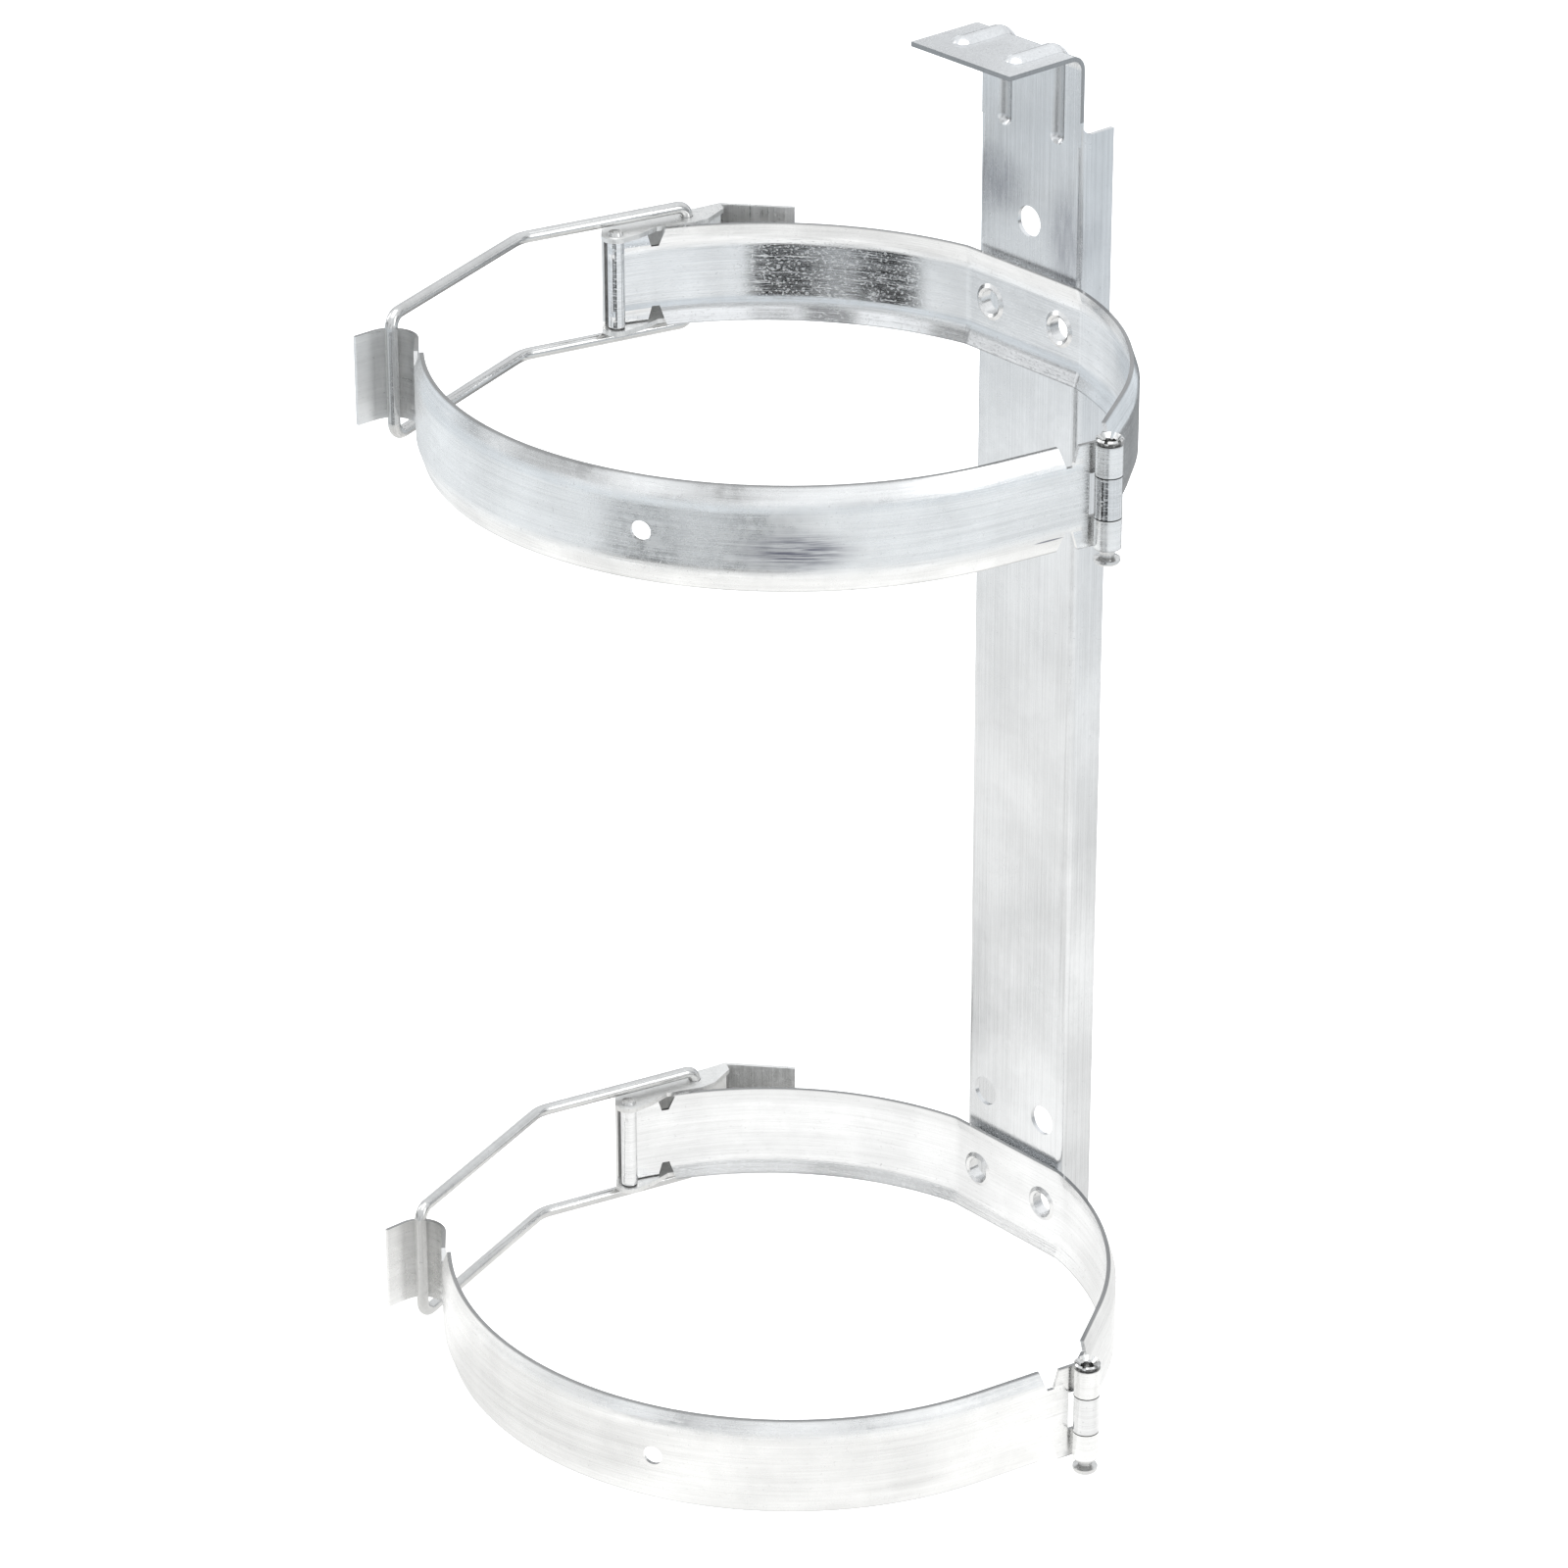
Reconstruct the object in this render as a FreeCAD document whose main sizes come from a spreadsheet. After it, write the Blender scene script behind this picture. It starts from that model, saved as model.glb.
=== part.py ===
import FreeCAD
import Part
import math
import os
import Sketcher
from FreeCAD import Placement, Rotation, Vector

# Quick-release extinguisher bracket of galvanised sheet: a folded back channel with two
# hinged straps, each closed by a pivoted lever and a wire bail that hooks over the strap's end.
# Frame: X to the right seen from the front, the wall on the +Y side, Z up. The origin lies in
# the channel's front face, in the middle of the upper screw hole.

doc = FreeCAD.newDocument("extinguisher_bracket")

# Driving sizes in millimetres and degrees
SIZES = [
    ("channel_width", 36.5, "over both flanges"),
    ("channel_depth", 10.5, "front face to the edges that bear on the wall"),
    ("channel_sheet", 1.2, "thickness of the channel's sheet"),
    ("channel_bend", 1.0, "inside radius of the long bends"),
    ("channel_top", 47.5, "top face of the lip above the upper screw hole"),
    ("channel_foot", 283.7, "end of the channel below the upper screw hole"),
    ("lip_inset", 1.0, "edge of the tongue with the lip inside the channel's side"),
    ("lip_reach", 24.0, "lip in front of the channel's face"),
    ("lip_bend", 3.0, "inside radius of the lip's bend"),
    ("flange_drop", 20.7, "top of the flanges below the lip"),
    ("shoulder", 3.0, "radius from the tongue's edge into the top of a flange"),
    ("bead_pitch", 18.4, "between the two pressed beads"),
    ("bead_round", 4.1, "outside radius of a pressed bead"),
    ("bead_sink", 1.5, "middle of that radius in front of the sheet"),
    ("bead_drop", 22.5, "length of a bead down the channel"),
    ("bead_reach", 11.0, "length of a bead along the lip"),
    ("screw_hole", 8.0, "bore of the three screw holes"),
    ("hole_drop", 248.4, "lower pair of screw holes below the upper hole"),
    ("screw_pitch", 21.5, "between the two lower screw holes"),
    ("upper_level", -24.5, "middle of the upper strap"),
    ("lower_level", -272.5, "middle of the lower strap"),
    ("cylinder", 178.0, "bottle that the closed strap fits"),
    ("strap_sheet", 1.0, "thickness of the strap"),
    ("band_height", 26.0, "over the strap's turned-in rims"),
    ("face_height", 16.8, "upright face between the rims"),
    ("rim_lean", 1.5, "how far a rim turns in"),
    ("flat_half", 19.0, "half of the flat that lies on the channel"),
    ("crease_bend", 8.0, "radius from the flat into the ring"),
    ("hinge_out", 7.3, "hinge axis outside the strap's middle line"),
    ("hinge_angle", 14.2, "hinge axis round the ring from +X"),
    ("hinge_pin", 4.5, "diameter of the hinge pin"),
    ("pin_play", 0.05, "radial clearance of both pins in their sheet rolls"),
    ("knuckle_wrap", 290.0, "turn of a knuckle round its pin"),
    ("middle_knuckle", 10.2, "height of the fixed half's knuckle"),
    ("knuckle_gap", 0.3, "between neighbouring knuckles"),
    ("leaf_rim", 20.0, "rims run this far along a straight leaf"),
    ("notch_floor", 2.0, "relief notch at its bottom"),
    ("notch_mouth", 5.6, "relief notch at the strap's edge"),
    ("eye_angle", 163.0, "lever pin round the ring from +X"),
    ("eye_wrap", 280.0, "turn of the eye round the lever pin"),
    ("eye_notch", 11.0, "relief notch from the lever pin, along the strap"),
    ("lever_pin", 2.2, "diameter of the lever pin"),
    ("door_span", 137.7, "door's band from the hinge round to its hook"),
    ("door_close", 6.7, "how much further the empty strap closes than on a bottle"),
    ("door_hole", 5.0, "small hole in the door's band"),
    ("door_hole_angle", 71.5, "small hole round from the hinge"),
    ("hook_run", 8.0, "straight run before the hook"),
    ("hook_bend", 6.5, "hook's bend to its middle line"),
    ("hook_turn", 130.0, "turn of the hook"),
    ("hook_lip", 5.6, "straight lip of the hook"),
    ("hook_inset", 1.5, "edge of the hook inside the strap's rim"),
    ("hook_seat_angle", 136.0, "where the wire lies in the hook"),
    ("seat_play", 0.45, "wire to the hook's inside"),
    ("lever_sheet", 1.2, "thickness of the lever"),
    ("ear_play", 0.4, "between an ear and the strap's eye"),
    ("lever_angle", 85.6, "pin to bail pivot, direction of the closed lever"),
    ("bail_pivot", 22.0, "lever pin to bail pivot"),
    ("web_start", -0.6, "start of the lever's web past its pin"),
    ("web_offset", 4.8, "lever's web outside its pin"),
    ("web_slope", 5.0, "lever's web toward the ring"),
    ("web_run", 34.6, "length of the lever's web"),
    ("handle_run", 19.0, "length of the flat handle"),
    ("handle_turn", 40.0, "handle turned in toward the ring"),
    ("ear_round", 3.5, "ear's edge round the lever pin"),
    ("wire", 3.1, "diameter of the bail wire"),
    ("wire_bend", 2.6, "bend radius of the wire's middle line"),
    ("kink_along", 44.6, "kink of a bail leg from its pivot"),
    ("kink_out", 14.7, "kink of a bail leg outward"),
    ("kink_bend", 9.0, "bend radius of that kink"),
    ("corner_bend", 3.6, "bend radius of the bail's two front corners"),
    ("leg_gap", 1.05, "between a bail leg and the ear beside it"),
    ("pivot_play", 0.1, "bail wire in the lever's ears"),
    ("eyelet_inset", 6.0, "eyelet from the channel's side"),
    ("eyelet_bore", 6.2, "open bore of an eyelet"),
    ("eyelet_wall", 0.45, "wall of an eyelet"),
    ("eyelet_flare", 9.5, "over an eyelet's flare"),
]

# Sizes worked out from the driving ones
DERIVED = [
    ("ring", "cylinder / 2 + strap_sheet / 2"),
    ("lip_width", "channel_width - 2 * lip_inset"),
    ("eyelet_pitch", "channel_width - 2 * eyelet_inset"),
    ("lever_height", "band_height"),
    ("eye_height", "lever_height - 2 * lever_sheet - 2 * ear_play"),
    ("hook_height", "band_height - 2 * hook_inset"),
    ("chord", "crease_bend + sqrt((ring - crease_bend) ^ 2 - flat_half ^ 2)"),
    ("crease_angle", "acos(flat_half / (ring - crease_bend)) / 1 deg"),
    ("ring_back", "strap_sheet / 2 + chord"),
    ("hinge_ring", "ring + hinge_out"),
    ("roll", "hinge_pin / 2 + pin_play + strap_sheet / 2"),
    ("leaf_span", "acos((ring + roll) / hinge_ring) / 1 deg"),
    ("eye_roll", "lever_pin / 2 + pin_play + strap_sheet / 2"),
    ("eye_ring", "ring - eye_roll"),
    ("eye_notch_angle", "eye_angle - eye_notch / ring * 180 / pi"),
    ("knuckle_clear", "roll + strap_sheet / 2 + 1.2"),
    ("hinge_x", "hinge_ring * cos(hinge_angle)"),
    ("hinge_y", "hinge_ring * sin(hinge_angle) - ring_back"),
    ("door_turn", "hinge_angle - door_close"),
    ("hook_notch_angle", "door_span - 1.5"),
    ("hook_cx", "(ring + hook_bend) * cos(door_span) - hook_run * sin(door_span)"),
    ("hook_cy", "0 - (ring + hook_bend) * sin(door_span) - hook_run * cos(door_span)"),
    ("hook_wx", "hinge_x + (hook_cx - hinge_ring) * cos(door_turn) - hook_cy * sin(door_turn)"),
    ("hook_wy", "hinge_y + (hook_cx - hinge_ring) * sin(door_turn) + hook_cy * cos(door_turn)"),
    ("seat_reach", "hook_bend - strap_sheet / 2 - wire / 2 - seat_play"),
    ("bar_x", "hook_wx + seat_reach * cos(hook_seat_angle)"),
    ("bar_y", "hook_wy + seat_reach * sin(hook_seat_angle)"),
    ("pin_x", "eye_ring * cos(eye_angle)"),
    ("pin_y", "eye_ring * sin(eye_angle) - ring_back"),
    ("pivot_x", "pin_x + bail_pivot * cos(lever_angle)"),
    ("pivot_y", "pin_y + bail_pivot * sin(lever_angle)"),
    ("bail_run", "sqrt((bar_x - pivot_x) ^ 2 + (bar_y - pivot_y) ^ 2)"),
    ("bail_lean", "asin((bar_x - pivot_x) / bail_run) / 1 deg"),
    ("ear_top", "lever_height / 2"),
    ("ear_foot", "lever_height / 2 - lever_sheet"),
    ("leg_level", "ear_top + leg_gap + wire / 2"),
    ("web_end_x", "web_start + web_run * cos(web_slope)"),
    ("web_end_y", "web_offset - web_run * sin(web_slope)"),
]

sheet = doc.addObject("Spreadsheet::Sheet", "Size")
for row, (alias, number, note) in enumerate(SIZES, start=1):
    sheet.set(f"A{row}", str(number))
    sheet.setAlias(f"A{row}", alias)
    sheet.set(f"B{row}", note)
for row, (alias, formula) in enumerate(DERIVED, start=len(SIZES) + 1):
    sheet.set(f"A{row}", "=" + formula)
    sheet.setAlias(f"A{row}", alias)
doc.recompute()

NAMES = [row[0] for row in SIZES] + [row[0] for row in DERIVED]


def size(alias):
    return float(getattr(sheet, alias))


def cells(formula):
    # Points every sheet name in a formula at the sheet, for use by another object
    out = ""
    word = ""
    for letter in formula + " ":
        if letter.isalnum() or letter == "_":
            word += letter
        else:
            out += "Size." + word if word in NAMES else word
            out += letter
            word = ""
    return out.strip()


def value(formula):
    return float(sheet.evalExpression(cells(formula)))


def polar(radius, angle):
    return (f"({radius}) * cos({angle})", f"({radius}) * sin({angle})")


def turned(point, angle):
    x, y = point
    return (f"({x}) * cos({angle}) - ({y}) * sin({angle})", f"({x}) * sin({angle}) + ({y}) * cos({angle})")


def shifted(point, dx, dy):
    return (f"{point[0]} + ({dx})", f"{point[1]} + ({dy})")


def flipped(point):
    return (point[0], f"0 - ({point[1]})")


def new_body(name):
    body = doc.addObject("PartDesign::Body", name)
    body.Label = name
    return body


def plane(body, role):
    return next(item for item in body.Origin.OriginFeatures if item.Role == role)


def new_sketch(body, name, role="XY_Plane", level=None, angle=None, spot=None):
    # A sketch on one of the body's own planes, raised by a level or swung round Z by an angle;
    # a spot stands an upright sketch over that point of the plan
    sketch = body.newObject("Sketcher::SketchObject", f"{body.Name}_{name}")
    sketch.AttachmentSupport = [(plane(body, role), "")]
    sketch.MapMode = "FlatFace"
    if level is not None:
        sketch.setExpression("AttachmentOffset.Base.z", cells(level))
    if angle is not None:
        sketch.AttachmentOffset = Placement(Vector(), Rotation(Vector(0, 1, 0), value(angle)))
        sketch.setExpression("AttachmentOffset.Rotation.Angle", cells(angle))
    if spot is not None:
        sketch.setExpression("AttachmentOffset.Base.x", cells(spot[0]))
        sketch.setExpression("AttachmentOffset.Base.z", cells(f"0 - ({spot[1]})"))
    return sketch


def arc_between(start, end, radius, ccw, large):
    mid = (start + end) * 0.5
    along = (end - start).normalize()
    left = Vector(-along.y, along.x, 0)
    rise = math.sqrt(max(radius ** 2 - (end - start).Length ** 2 / 4, 0))
    centre = mid + left * (rise if ccw != large else -rise)
    first = math.atan2(start.y - centre.y, start.x - centre.x)
    last = math.atan2(end.y - centre.y, end.x - centre.x)
    if not ccw:
        first, last = last, first
    if last < first:
        last += 2 * math.pi
    return Part.ArcOfCircle(Part.Circle(centre, Vector(0, 0, 1), radius), first, last)


def draw(sketch, start, steps, closed=True):
    # Draws lines ("line", point) and arcs ("arc", point, radius, ccw, large), each corner held
    # by its two coordinates and each arc by its radius
    corners = [start] + [step[1] for step in steps]
    spots = [Vector(value(x), value(y), 0) for x, y in corners]
    base = sketch.GeometryCount
    rules = []
    formulas = []
    ends = []
    for index, step in enumerate(steps):
        a, b = spots[index], spots[index + 1]
        geo = base + index
        if step[0] == "line":
            sketch.addGeometry(Part.LineSegment(a, b), False)
            ends.append((geo, 1, 2))
        else:
            sketch.addGeometry(arc_between(a, b, value(step[2]), step[3], step[4]), False)
            ends.append((geo, 1, 2) if step[3] else (geo, 2, 1))
            rules.append(Sketcher.Constraint("Radius", geo, value(step[2])))
            formulas.append(step[2])
    for index in range(len(steps) - 1):
        rules.append(Sketcher.Constraint("Coincident", ends[index][0], ends[index][2],
                                         ends[index + 1][0], ends[index + 1][1]))
        formulas.append(None)
    if closed:
        rules.append(Sketcher.Constraint("Coincident", ends[-1][0], ends[-1][2], ends[0][0], ends[0][1]))
        formulas.append(None)
    held = [(end[0], end[1]) for end in ends]
    if not closed:
        held.append((ends[-1][0], ends[-1][2]))
    for (geo, spot), (x, y), point in zip(held, corners, spots):
        rules.append(Sketcher.Constraint("DistanceX", -1, 1, geo, spot, point.x))
        formulas.append(x)
        rules.append(Sketcher.Constraint("DistanceY", -1, 1, geo, spot, point.y))
        formulas.append(y)
    first = sketch.ConstraintCount
    sketch.addConstraint(rules)
    for index, formula in enumerate(formulas):
        if formula is not None:
            sketch.setExpression(f"Constraints[{first + index}]", cells(formula))


def polygon(sketch, points):
    draw(sketch, points[0], [("line", point) for point in points[1:] + points[:1]])


def circle(sketch, centre, diameter):
    spot = Vector(value(centre[0]), value(centre[1]), 0)
    geo = sketch.addGeometry(Part.Circle(spot, Vector(0, 0, 1), value(diameter) / 2), False)
    first = sketch.ConstraintCount
    sketch.addConstraint([
        Sketcher.Constraint("DistanceX", -1, 1, geo, 3, spot.x),
        Sketcher.Constraint("DistanceY", -1, 1, geo, 3, spot.y),
        Sketcher.Constraint("Diameter", geo, value(diameter)),
    ])
    for index, formula in enumerate((centre[0], centre[1], diameter)):
        sketch.setExpression(f"Constraints[{first + index}]", cells(formula))


def feature(body, kind, name, sketch, length=None, both=False, reverse=False, through=False):
    item = body.newObject("PartDesign::" + kind, f"{body.Name}_{name}")
    item.Profile = sketch
    if through:
        item.Type = 1
    if length is not None:
        item.setExpression("Length", cells(length))
    item.Midplane = both
    item.Reversed = reverse
    sketch.Visibility = False
    return item


def revolve(body, name, sketch):
    item = body.newObject("PartDesign::Revolution", f"{body.Name}_{name}")
    item.Profile = sketch
    item.ReferenceAxis = (sketch, ["V_Axis"])
    item.Angle = 360
    return item


def sweep(body, name, profile, path, count):
    item = body.newObject("PartDesign::AdditivePipe", f"{body.Name}_{name}")
    item.Profile = profile
    item.Spine = (path, [f"Edge{index + 1}" for index in range(count)])
    return item


def place(body, x, y, z, angle="0"):
    body.Placement = Placement(Vector(), Rotation(Vector(0, 0, 1), value(angle)))
    body.setExpression("Placement.Base.x", cells(x))
    body.setExpression("Placement.Base.y", cells(y))
    body.setExpression("Placement.Base.z", cells(z))
    if angle != "0":
        body.setExpression("Placement.Rotation.Angle", cells(angle))


def band_section(sketch, middle="ring"):
    # Upright face with both rims turned in; sketch X is the radius
    inner = f"{middle} - strap_sheet / 2"
    outer = f"{middle} + strap_sheet / 2"
    face = "face_height / 2"
    edge = "band_height / 2"
    polygon(sketch, [
        (outer, f"0 - {face}"), (outer, face),
        (f"{outer} - rim_lean", edge), (f"{inner} - rim_lean", edge),
        (inner, face), (inner, f"0 - {face}"),
        (f"{inner} - rim_lean", f"0 - {edge}"), (f"{outer} - rim_lean", f"0 - {edge}"),
    ])


def strip_section(sketch, height, middle="ring"):
    inner = f"{middle} - strap_sheet / 2"
    outer = f"{middle} + strap_sheet / 2"
    half = f"{height} / 2"
    polygon(sketch, [(inner, f"0 - {half}"), (outer, f"0 - {half}"), (outer, half), (inner, half)])


def relief_notches(body, name, angle, along="0"):
    # Tapered cuts through both rims where they end, cut from the ring's centre outward
    sketch = new_sketch(body, name, "XZ_Plane", angle=f"{angle} + 90")
    tall = "band_height / 2 + 1"
    for sign in ("", "0 - "):
        corners = [("0 - notch_mouth / 2", tall), ("0 - notch_floor / 2", "face_height / 2 - 0.4"),
                   ("notch_floor / 2", "face_height / 2 - 0.4"), ("notch_mouth / 2", tall)]
        polygon(sketch, [(f"{along} + ({x})", f"{sign}({z})") for x, z in corners])
    return feature(body, "Pocket", name + "_cut", sketch, "hinge_ring + 4", reverse=True)


def leaf_points(side):
    # Tangent point, end of the rims, foot and free end of a leaf, in the frame with the hinge
    # on +X; side 1 is the fixed half above that axis, -1 the door's mirror
    tangent = polar("ring", "leaf_span")
    rim_end = shifted(tangent, "leaf_rim * sin(leaf_span)", "0 - leaf_rim * cos(leaf_span)")
    foot = ("hinge_ring - roll * cos(leaf_span)", "0 - roll * sin(leaf_span)")
    free = shifted(polar("roll", "leaf_span + 180 + knuckle_wrap"), "hinge_ring", "0")
    points = [tangent, rim_end, foot, free]
    return points if side > 0 else [flipped(point) for point in points]


def fixed_strap(name, level):
    body = new_body(name)
    place(body, "0", "0 - ring_back", level)
    tangent, rim_end, foot, free = [turned(point, "hinge_angle") for point in leaf_points(1)]
    # Ring from the eye side over the flat to the hinge side, with turned-in rims
    path = new_sketch(body, "band_path")
    draw(path, polar("ring", "eye_notch_angle"), [
        ("arc", polar("ring", "180 - crease_angle"), "ring", False, False),
        ("arc", ("0 - flat_half", "chord"), "crease_bend", False, False),
        ("line", ("flat_half", "chord")),
        ("arc", polar("ring", "crease_angle"), "crease_bend", False, False),
        ("arc", tangent, "ring", False, False),
        ("line", rim_end),
    ], closed=False)
    section = new_sketch(body, "band_section", "XZ_Plane", angle="eye_notch_angle")
    band_section(section)
    sweep(body, "band", section, path, 6)
    # Plain tongue that is rolled inward round the lever pin
    path = new_sketch(body, "eye_path")
    eye = polar("eye_ring", "eye_angle")
    tip = polar("eye_roll", "eye_angle + eye_wrap")
    draw(path, polar("ring", "eye_notch_angle"), [
        ("arc", polar("ring", "eye_angle"), "ring", True, False),
        ("arc", (f"{eye[0]} + {tip[0]}", f"{eye[1]} + {tip[1]}"), "eye_roll", True, True),
    ], closed=False)
    section = new_sketch(body, "eye_section", "XZ_Plane", angle="eye_notch_angle")
    strip_section(section, "eye_height")
    sweep(body, "eye", section, path, 2)
    # Leaf and middle knuckle
    path = new_sketch(body, "leaf_path")
    draw(path, rim_end, [("line", foot), ("arc", free, "roll", True, True)], closed=False)
    section = new_sketch(body, "leaf_section", "XZ_Plane", angle="hinge_angle + leaf_span", spot=rim_end)
    strip_section(section, "band_height", "0")
    sweep(body, "leaf", section, path, 2)
    # Only the middle finger reaches the pin
    hinge = polar("hinge_ring", "hinge_angle")
    for end, flip in (("upper", False), ("lower", True)):
        sketch = new_sketch(body, f"{end}_step", level=("0 - " if flip else "") + "middle_knuckle / 2")
        circle(sketch, hinge, "knuckle_clear * 2")
        feature(body, "Pocket", f"{end}_step_cut", sketch, "band_height", reverse=not flip)
    relief_notches(body, "eye_notch", "eye_notch_angle")
    relief_notches(body, "leaf_notch", "hinge_angle + leaf_span", "0 - leaf_rim")
    sketch = new_sketch(body, "eyelet_holes", "XZ_Plane")
    for sign in ("", "0 - "):
        circle(sketch, (f"{sign}eyelet_pitch / 2", "0"), "eyelet_bore + 2 * eyelet_wall + 2 * pin_play")
    feature(body, "Pocket", "eyelet_cut", sketch, "hinge_ring")
    return body


def door_strap(name, level):
    body = new_body(name)
    place(body, "hinge_x - hinge_ring * cos(door_turn)", "hinge_y - hinge_ring * sin(door_turn)", level,
          "door_turn")
    tangent, rim_end, foot, free = leaf_points(-1)
    far = "0 - hook_notch_angle"
    path = new_sketch(body, "band_path")
    draw(path, rim_end, [("line", tangent), ("arc", polar("ring", far), "ring", False, False)], closed=False)
    section = new_sketch(body, "band_section", "XZ_Plane", angle="360 - leaf_span", spot=rim_end)
    band_section(section, "0")
    sweep(body, "band", section, path, 2)
    # Leaf and its two outer knuckles
    path = new_sketch(body, "leaf_path")
    draw(path, rim_end, [("line", foot), ("arc", free, "roll", False, True)], closed=False)
    section = new_sketch(body, "leaf_section", "XZ_Plane", angle="360 - leaf_span", spot=rim_end)
    strip_section(section, "band_height", "0")
    sweep(body, "leaf", section, path, 2)
    sketch = new_sketch(body, "window")
    circle(sketch, ("hinge_ring", "0"), "knuckle_clear * 2")
    feature(body, "Pocket", "window_cut", sketch, "middle_knuckle + 2 * knuckle_gap", both=True)
    # Hook: a straight run off the ring, then a cup that opens to the front
    path = new_sketch(body, "hook_path")
    end = polar("ring", "0 - door_span")
    run = shifted(end, "0 - hook_run * sin(door_span)", "0 - hook_run * cos(door_span)")
    turn = shifted(("hook_cx", "hook_cy"), "hook_bend * cos(180 - door_span + hook_turn)",
                   "hook_bend * sin(180 - door_span + hook_turn)")
    tip = shifted(turn, "hook_lip * cos(270 - door_span + hook_turn)",
                  "hook_lip * sin(270 - door_span + hook_turn)")
    draw(path, polar("ring", far), [
        ("arc", end, "ring", False, False),
        ("line", run),
        ("arc", turn, "hook_bend", True, False),
        ("line", tip),
    ], closed=False)
    section = new_sketch(body, "hook_section", "XZ_Plane", angle="360 - hook_notch_angle")
    strip_section(section, "hook_height")
    sweep(body, "hook", section, path, 4)
    relief_notches(body, "leaf_notch", "360 - leaf_span", "leaf_rim")
    relief_notches(body, "hook_notch", "360 - hook_notch_angle")
    sketch = new_sketch(body, "small_hole", "XZ_Plane", angle="360 - door_hole_angle + 90")
    circle(sketch, ("0", "0"), "door_hole")
    feature(body, "Pocket", "small_hole_cut", sketch, "hinge_ring + 4", reverse=True)
    return body


def lever(name, level):
    # X runs from the lever pin to the bail pivot, Y points away from the ring
    body = new_body(name)
    place(body, "pin_x", "pin_y", level, "lever_angle")
    half = "lever_sheet / 2"
    side = (f"{half} * sin(web_slope)", f"{half} * cos(web_slope)")
    turn = "web_slope + handle_turn"
    tip = (f"web_end_x + handle_run * cos({turn})", f"web_end_y - handle_run * sin({turn})")
    tip_side = (f"{half} * sin({turn})", f"{half} * cos({turn})")
    mid = "web_slope + handle_turn / 2"
    bend_side = (f"{half} * sin({mid}) / cos(handle_turn / 2)", f"{half} * cos({mid}) / cos(handle_turn / 2)")
    back_in = (f"web_start - ({side[0]})", f"web_offset - ({side[1]})")
    bend_in = (f"web_end_x - ({bend_side[0]})", f"web_end_y - ({bend_side[1]})")
    # Web and handle, one bent strip
    sketch = new_sketch(body, "web")
    polygon(sketch, [
        back_in, bend_in,
        (f"{tip[0]} - ({tip_side[0]})", f"{tip[1]} - ({tip_side[1]})"),
        (f"{tip[0]} + {tip_side[0]}", f"{tip[1]} + {tip_side[1]}"),
        (f"web_end_x + {bend_side[0]}", f"web_end_y + {bend_side[1]}"),
        (f"web_start + {side[0]}", f"web_offset + {side[1]}"),
    ])
    feature(body, "Pad", "web_pad", sketch, "lever_height", both=True)
    # The two ears: round at the pin, hollowed along the strap, widest beside the bail pivot
    for end, flip in (("upper", False), ("lower", True)):
        sketch = new_sketch(body, f"{end}_ear", level=("0 - " if flip else "") + "ear_foot")
        draw(sketch, (f"web_start + {side[0]}", f"web_offset + {side[1]}"), [
            ("line", ("0 - ear_round", "ear_round * 0.4")),
            ("line", ("0 - ear_round", "0")),
            ("arc", ("0", "0 - ear_round"), "ear_round", True, False),
            ("line", ("bail_pivot * 0.25", "0 - ear_round + 0.3")),
            ("line", ("bail_pivot * 0.52", "0 - 1.8")),
            ("line", ("bail_pivot * 0.96", "0 - 5.0")),
            ("line", ("bail_pivot * 1.15", "0 - 4.8")),
            ("line", ("web_end_x - 1.2", "web_end_y - 3.2")),
            ("line", (f"web_end_x + {bend_side[0]}", f"web_end_y + {bend_side[1]}")),
            ("line", (f"web_start + {side[0]}", f"web_offset + {side[1]}")),
        ])
        feature(body, "Pad", f"{end}_ear_pad", sketch, "lever_sheet", reverse=flip)
    sketch = new_sketch(body, "pin_holes")
    circle(sketch, ("0", "0"), "lever_pin + 2 * pin_play")
    circle(sketch, ("bail_pivot", "0"), "wire + 2 * pivot_play")
    feature(body, "Pocket", "pin_cut", sketch, "lever_height + 4", both=True)
    return body


def turned_piece(name, x, y, z, points):
    # A round piece from its outline, given as radius and height
    body = new_body(name)
    place(body, x, y, z)
    sketch = new_sketch(body, "outline", "XZ_Plane")
    polygon(sketch, points)
    revolve(body, "turn", sketch)
    return body


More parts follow.
